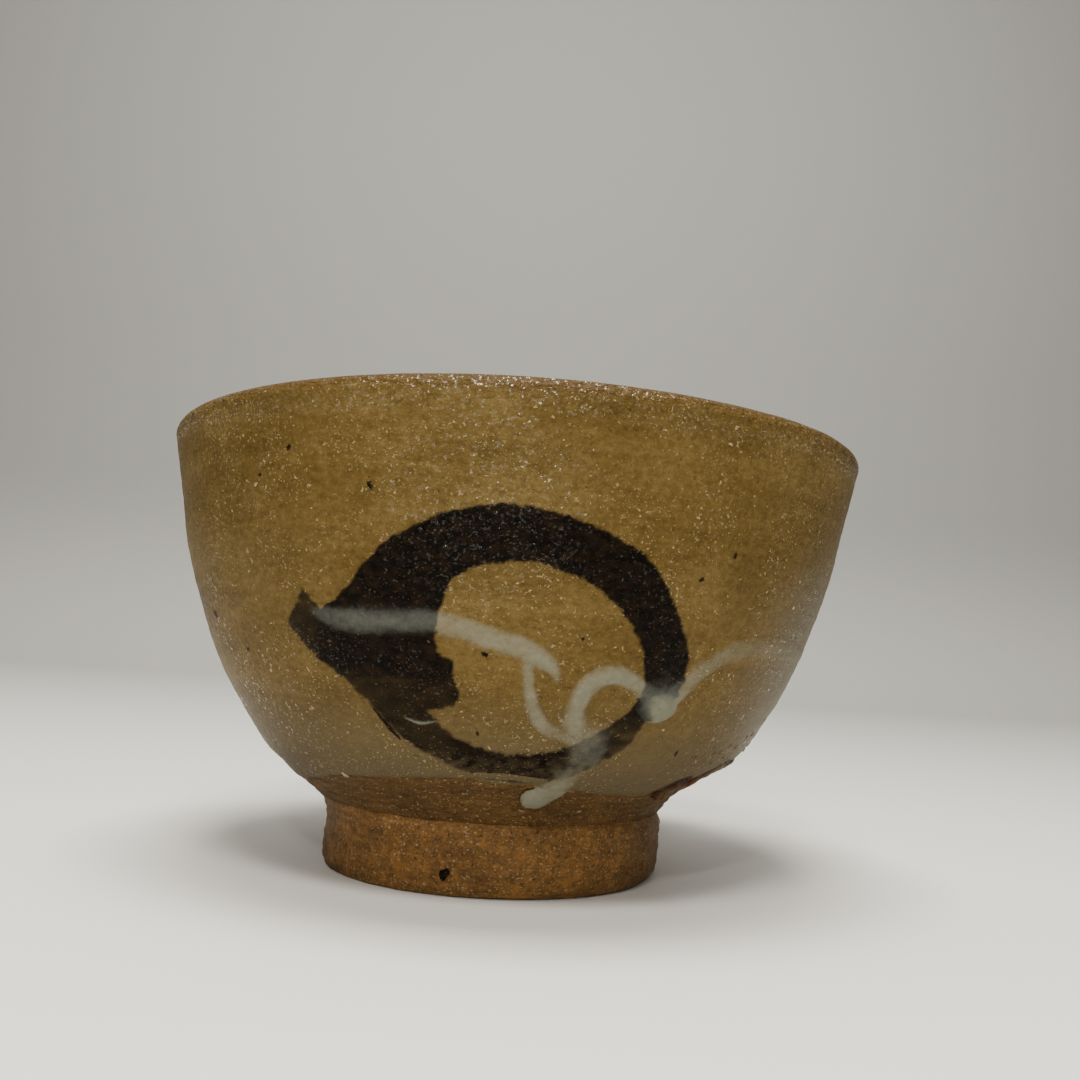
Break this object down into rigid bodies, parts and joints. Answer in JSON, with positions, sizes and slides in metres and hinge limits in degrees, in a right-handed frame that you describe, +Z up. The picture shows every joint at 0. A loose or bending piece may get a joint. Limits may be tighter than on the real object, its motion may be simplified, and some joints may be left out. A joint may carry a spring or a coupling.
{
  "type": "matcha bowl",
  "caption": "Wide, deep tea bowl on a turned foot ring, for whisking and drinking powdered tea, with an amber glaze, a brushed iron ring and poured white trails.",
  "frame": {"origin": "centre of the foot ring's resting face, on the table", "axes": "+Z up along the bowl's turning axis; -Y is the decorated front, +X is its right as the bowl is looked at"},
  "size_m": [0.122, 0.122, 0.0746],
  "materials": {
    "wall_clay": "bare fired stoneware, sandy and matt",
    "foot_clay": "bare fired stoneware, trimmed, matt with fine sparkle",
    "outer_glaze": "glossy amber glaze with fine throwing lines and pinholes",
    "inner_glaze": "glossy amber glaze",
    "iron_brushwork": "brown-black iron, half gloss, speckled",
    "iron_spot": "dark iron, half gloss",
    "white_glaze": "thick milky glaze, glossy",
    "torn_glaze": "crawled glaze edge over bare clay, half gloss",
    "feldspar": "white melted grains, glossy"
  },
  "bodies": {
    "root": {"clay_wall": "wall_clay", "foot_ring": "foot_clay", "foot_iron_grain": "iron_spot", "outer_glaze": "outer_glaze", "inner_glaze": "inner_glaze", "iron_ring": "iron_brushwork", "iron_hair": "iron_brushwork", "iron_spots": "iron_spot", "white_trail_upper": "white_glaze", "white_trail_lower": "white_glaze", "white_trail_loop": "white_glaze", "white_trail_right": "white_glaze", "white_fleck": "white_glaze", "torn_glaze_edge": "torn_glaze", "feldspar_grains": "feldspar"}
  },
  "joints": []
}
